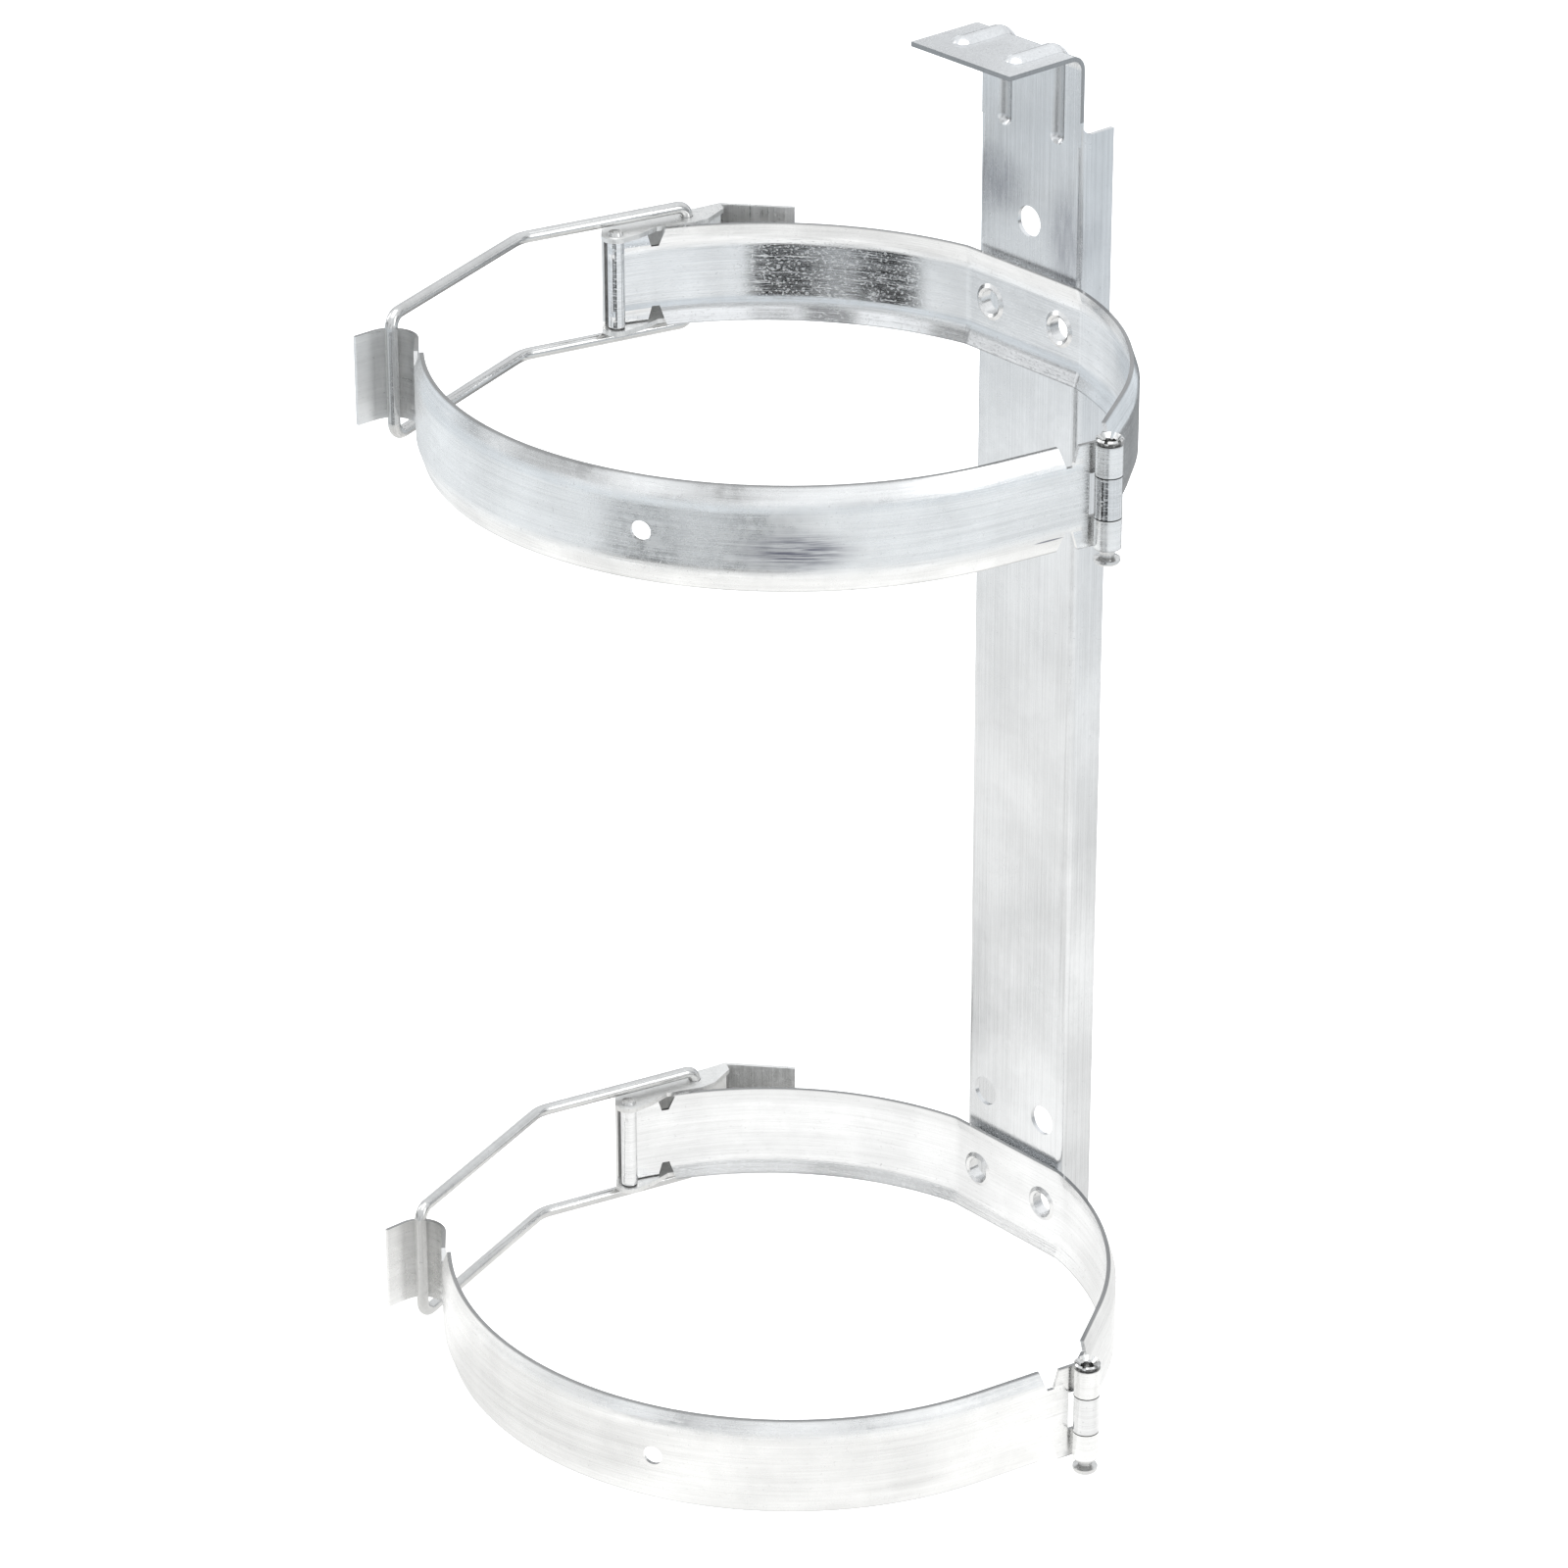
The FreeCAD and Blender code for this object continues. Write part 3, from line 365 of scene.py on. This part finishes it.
def channel_cut_and_shade(tree, place):
    # Front edge of the lip, the edges that bear on the wall, and the sides of the tongue, with painted
    # shade in the grooves
    spot = axes(tree, place)
    front = under(tree, spot["Y"], LIP_EDGE)
    wall = over(tree, spot["Y"], WALL_EDGE)
    wide = over(tree, positive(tree, spot["X"]), TONGUE_SIDE)
    side = times(tree, wide, over(tree, spot["Z"], TONGUE_FOOT))
    edge = larger(tree, larger(tree, front, wall), side)
    return larger(tree, times(tree, edge, CHANNEL_DULL), groove_painted_shade(tree, spot))


def from_centre(tree, place, centre):
    # Arm from the ring's axis to the point, and how far the face looks outward along it
    arm = shifted(tree, scaled(tree, place, (1.0, 1.0, 0.0)), centre)
    normal = add(tree, "ShaderNodeVectorTransform", vector_type="NORMAL", convert_from="WORLD",
                 convert_to="OBJECT")
    feed(tree, normal, 0, face_normal(tree))
    return arm, vector_node(tree, "DOT_PRODUCT", arm, normal.outputs[0])["Value"]


def soft_crease(tree, place, centre):
    # Rounds the pressed creases between the face and the rims, in the shading only
    near = positive(tree, minus(tree, ring_level(tree, place), CREASE))
    rise = minus(tree, 1.0, math_node(tree, "DIVIDE", near, CREASE_SOFT), clamp=True)
    rise = math_node(tree, "POWER", rise, CREASE_ROUND)
    arm, facing = from_centre(tree, place, centre)
    off = positive(tree, minus(tree, length(tree, arm), RING_RADIUS))
    rise = times(tree, times(tree, rise, under(tree, off, RING_WALL_REACH)), -CREASE_RISE)
    return times(tree, rise, math_node(tree, "SIGN", facing))


def door_smear(tree, place):
    # A dark streaky smear low on the upper door's outside, and a short scratch near its hinge
    smear = remap(tree, away_from(tree, place, SMEAR_SPOT, SMEAR_STRETCH), SMEAR_SPAN, (1.0, 0.0))
    streak = noise(tree, scaled(tree, place, STREAK_GRAIN), detail=3.0, roughness=0.6)
    smear = times(tree, smear, remap(tree, streak, STREAK_SPAN, STREAK_COVER))
    gone = away_from(tree, place, SCRATCH_SPOT, SCRATCH_STRETCH)
    scratch = remap(tree, gone, SCRATCH_SPAN, (SCRATCH_DARK, 0.0))
    facing = from_centre(tree, place, DOOR_CENTRE)[1]
    return times(tree, larger(tree, smear, scratch), over(tree, facing, 0.0))


# Finishes of the pieces

GRAIN_ALONG_STRAP = (40.0, 40.0, 3400.0)
GRAIN_ALONG_CHANNEL = (3000.0, 3000.0, 30.0)
GRAIN_ALONG_LEVER = (2600.0, 2600.0, 30.0)
GRAIN_ALL_WAYS = (900.0, 900.0, 900.0)
DOOR_TINT = (0.96, 0.96, 0.955, 1.0)
RELIEF_HEIGHT = 0.00002
RELIEF_STRENGTH = 0.6


def zinc_material(name, grain, tint, rough, lines, dirt, specks=1.0, edge=None, smear=None, centre=None):
    material = bpy.data.materials.new(name)
    material.use_nodes = True
    tree = material.node_tree
    shader = tree.nodes["Principled BSDF"]
    place = add(tree, "ShaderNodeTexCoord").outputs["Object"]
    look = add(tree, "ShaderNodeGroup", node_tree=ZINC)
    feed(tree, look, "Vector", place)
    feed(tree, look, "Grain", grain)
    feed(tree, look, "Tint", tint)
    feed(tree, look, "Rough", rough)
    feed(tree, look, "Lines", lines)
    feed(tree, look, "Dirt", dirt)
    feed(tree, look, "Specks", specks)
    # The edge mask holds the cut edges and the painted shade along rims and in grooves
    if edge is not None:
        feed(tree, look, "Edge", edge(tree, place))
    if smear is not None:
        feed(tree, look, "Smudge", smear(tree, place))
    relief = add(tree, "ShaderNodeBump")
    feed(tree, relief, "Strength", RELIEF_STRENGTH)
    feed(tree, relief, "Distance", RELIEF_HEIGHT)
    feed(tree, relief, "Height", look.outputs["Height"])
    if centre is not None:
        bend = add(tree, "ShaderNodeBump")
        feed(tree, bend, "Strength", 1.0)
        feed(tree, bend, "Distance", 1.0)
        feed(tree, bend, "Height", soft_crease(tree, place, centre))
        feed(tree, relief, "Normal", bend.outputs["Normal"])
    feed(tree, shader, "Base Color", look.outputs["Color"])
    feed(tree, shader, "Metallic", 1.0)
    feed(tree, shader, "Roughness", look.outputs["Roughness"])
    feed(tree, shader, "Normal", relief.outputs["Normal"])
    return material


channel_zinc = zinc_material(
    "channel_zinc", GRAIN_ALONG_CHANNEL, (0.80, 0.81, 0.82, 1.0), rough=0.21, lines=1.1, dirt=0.25,
    specks=0.25, edge=channel_cut_and_shade, smear=channel_clouds)
strap_zinc = zinc_material(
    "strap_zinc", GRAIN_ALONG_STRAP, (0.87, 0.875, 0.88, 1.0), rough=0.10, lines=1.1, dirt=0.35,
    specks=0.8, edge=strap_cut_and_shade, centre=FIXED_CENTRE)
door_zinc = zinc_material(
    "door_zinc", GRAIN_ALONG_STRAP, DOOR_TINT, rough=0.27, lines=1.0, dirt=0.30,
    specks=0.3, edge=strap_cut_and_shade, centre=DOOR_CENTRE)
smudged_door_zinc = zinc_material(
    "door_zinc_smudged", GRAIN_ALONG_STRAP, DOOR_TINT, rough=0.27, lines=1.0, dirt=0.35,
    specks=0.3, edge=strap_cut_and_shade, smear=door_smear, centre=DOOR_CENTRE)
lever_zinc = zinc_material(
    "lever_zinc", GRAIN_ALONG_LEVER, (0.84, 0.84, 0.83, 1.0), rough=0.40, lines=1.1, dirt=0.5)
pin_zinc = zinc_material(
    "pin_zinc", GRAIN_ALL_WAYS, (0.70, 0.70, 0.695, 1.0), rough=0.22, lines=0.5, dirt=0.6)
eyelet_zinc = zinc_material(
    "eyelet_zinc", GRAIN_ALL_WAYS, (0.86, 0.86, 0.86, 1.0), rough=0.20, lines=0.4, dirt=0.3)
wire_zinc = zinc_material(
    "wire_zinc", GRAIN_ALL_WAYS, (0.66, 0.66, 0.655, 1.0), rough=0.17, lines=0.6, dirt=0.5, specks=0.5)


def dress(node, material):
    for slot in bpy.data.objects[node].material_slots:
        slot.material = material


dress("back_channel", channel_zinc)
for ring in RINGS:
    dress(f"{ring}_fixed_strap", strap_zinc)
    dress(f"{ring}_door_strap", smudged_door_zinc if ring == "upper" else door_zinc)
    dress(f"{ring}_hinge_pin", pin_zinc)
    dress(f"{ring}_left_eyelet", eyelet_zinc)
    dress(f"{ring}_right_eyelet", eyelet_zinc)
    dress(f"{ring}_latch_lever", lever_zinc)
    dress(f"{ring}_lever_pin", pin_zinc)
    dress(f"{ring}_bail", wire_zinc)


# Floor. The camera sees plain white. The bright metal mirrors it white close to the bracket and
# greyer further out, with dark patches that only reflections see.

FLOOR_HALF = 6.0
FLOOR_CORNERS = ((-1, -1), (1, -1), (1, 1), (-1, 1))
FLOOR_MIDDLE = (0.0, -0.08, 0.0)
FLOOR_SPAN = (0.20, 0.95)
FLOOR_GLOW = (1.08, 0.84)
NEAR_TONE = (1.0, 1.0, 0.99, 1.0)
FAR_TONE = (0.89, 0.95, 1.0, 1.0)
WAVE_SPAN = (0.35, 0.65)
WAVE_GLOW = (-0.16, 0.14)
PAINT = (0.90, 0.90, 0.90, 1.0)
PAINT_ROUGH = 0.9
FLOOR_LIFT = 0.62
PLAIN_WHITE = (1.0, 1.0, 1.0, 1.0)

# Each patch is x, y, half width, half depth and what is left of the glow in its middle
PATCH_SPAN = (0.75, 1.15)
DARK_PATCHES = (
    (0.390, -0.535, 0.15, 0.13, 0.0),
    (0.230, -0.625, 0.13, 0.10, 0.30),
    (0.055, -0.675, 0.14, 0.13, 0.0),
    (-0.480, 0.420, 0.55, 0.36, 0.35),
)


def mirrored_glow(tree, flat, far):
    tone = remap(tree, far, FLOOR_SPAN, FLOOR_GLOW)
    wave = noise(tree, flat, per_m=7.0, detail=2.0, roughness=0.5)
    tone = plus(tree, tone, remap(tree, wave, WAVE_SPAN, WAVE_GLOW))
    for x, y, wide, deep, low in DARK_PATCHES:
        away = away_from(tree, flat, (x, y, 0.0), (1.0 / wide, 1.0 / deep, 1.0))
        tone = times(tree, tone, remap(tree, away, PATCH_SPAN, (low, 1.0)))
    return tone


def floor_material():
    material = bpy.data.materials.new("floor_white")
    material.use_nodes = True
    tree = material.node_tree
    shader = tree.nodes["Principled BSDF"]
    place = add(tree, "ShaderNodeTexCoord").outputs["Object"]
    flat = scaled(tree, place, (1.0, 1.0, 0.0))
    far = vector_node(tree, "DISTANCE", flat, FLOOR_MIDDLE)["Value"]
    mirrored = add(tree, "ShaderNodeEmission")
    feed(tree, mirrored, "Color", mixed(tree, mask(tree, far, FLOOR_SPAN), NEAR_TONE, FAR_TONE))
    feed(tree, mirrored, "Strength", mirrored_glow(tree, flat, far))
    feed(tree, shader, "Base Color", PAINT)
    feed(tree, shader, "Roughness", PAINT_ROUGH)
    feed(tree, shader, "Specular IOR Level", 0.0)
    feed(tree, shader, "Emission Color", PLAIN_WHITE)
    feed(tree, shader, "Emission Strength", FLOOR_LIFT)
    mirror_ray = add(tree, "ShaderNodeLightPath").outputs["Is Glossy Ray"]
    either_shader(tree, mirror_ray, shader.outputs[0], mirrored.outputs[0], tree.nodes["Material Output"])
    return material


floor_mesh = bpy.data.meshes.new("floor")
floor_mesh.from_pydata([(x * FLOOR_HALF, y * FLOOR_HALF, FLOOR_Z) for x, y in FLOOR_CORNERS],
                       [], [(0, 1, 2, 3)])
floor = bpy.data.objects.new("floor", floor_mesh)
bpy.context.scene.collection.objects.link(floor)
floor_mesh.materials.append(floor_material())


# Soft boxes and the surround: the camera sees plain white, and the metal sees a sky with light
# and dark clouds near the horizon

LIGHT_AIM = Vector((0.0, -0.08, -0.14))
SKY_COLOR = (0.96, 0.98, 1.0, 1.0)
SKY_SPAN = (-0.1, 0.9)
SKY_GLOW = (0.92, 1.12)
SKY_CLOUD_SPAN = (0.46, 0.54)
SKY_CLOUD_GLOW = (-0.62, 0.14)
HORIZON_SPAN = (0.26, 0.36)
HORIZON_COVER = (1.0, 0.12)


def soft_box(name, spot, wide, high, watts):
    data = bpy.data.lights.new(name, "AREA")
    data.shape = "RECTANGLE"
    data.size = wide
    data.size_y = high
    data.energy = watts
    lamp = bpy.data.objects.new(name, data)
    bpy.context.scene.collection.objects.link(lamp)
    lamp.location = spot
    lamp.rotation_euler = (LIGHT_AIM - Vector(spot)).to_track_quat("-Z", "Y").to_euler()


def white_surround():
    world = bpy.data.worlds.new("studio")
    world.use_nodes = True
    bpy.context.scene.world = world
    tree = world.node_tree
    tree.nodes.clear()
    direction = add(tree, "ShaderNodeTexCoord").outputs["Generated"]
    up = axes(tree, direction)["Z"]
    lift = remap(tree, up, SKY_SPAN, SKY_GLOW)
    cloud = noise(tree, direction, per_m=3.4, detail=1.0, roughness=0.4)
    cloud = remap(tree, cloud, SKY_CLOUD_SPAN, SKY_CLOUD_GLOW)
    near_horizon = remap(tree, up, HORIZON_SPAN, HORIZON_COVER)
    seen = add(tree, "ShaderNodeBackground")
    feed(tree, seen, "Color", PLAIN_WHITE)
    felt = add(tree, "ShaderNodeBackground")
    feed(tree, felt, "Color", SKY_COLOR)
    feed(tree, felt, "Strength", plus(tree, lift, times(tree, cloud, near_horizon)))
    camera_ray = add(tree, "ShaderNodeLightPath").outputs["Is Camera Ray"]
    either_shader(tree, camera_ray, felt.outputs[0], seen.outputs[0], add(tree, "ShaderNodeOutputWorld"))


soft_box("top_box", (0.1, -0.3, 1.5), wide=1.4, high=1.4, watts=9.0)
soft_box("left_box", (-1.3, -0.7, 0.7), wide=0.5, high=1.0, watts=3.5)
soft_box("right_box", (1.4, 0.2, 0.5), wide=0.4, high=1.1, watts=3.0)
white_surround()


# Camera, fitted to landmarks of the bracket; metres, in the frame of the CAD

EYE = Vector((0.9906, -0.9610, 0.5230))
TARGET = Vector((-0.0234, -0.0600, -0.1428))
LENS_MM = 137.26
SENSOR_MM = 36.0
ROLL_DEG = -0.1
FARTHEST_M = 50.0


def photo_camera():
    data = bpy.data.cameras.new("camera")
    data.lens = LENS_MM
    data.sensor_width = SENSOR_MM
    data.clip_end = FARTHEST_M
    camera = bpy.data.objects.new("camera", data)
    bpy.context.scene.collection.objects.link(camera)
    turn = (TARGET - EYE).to_track_quat("-Z", "Y").to_matrix().to_4x4()
    roll = Matrix.Rotation(math.radians(ROLL_DEG), 4, "Z")
    camera.matrix_world = Matrix.Translation(EYE) @ turn @ roll
    bpy.context.scene.camera = camera


photo_camera()
bpy.context.scene.view_settings.view_transform = "Standard"
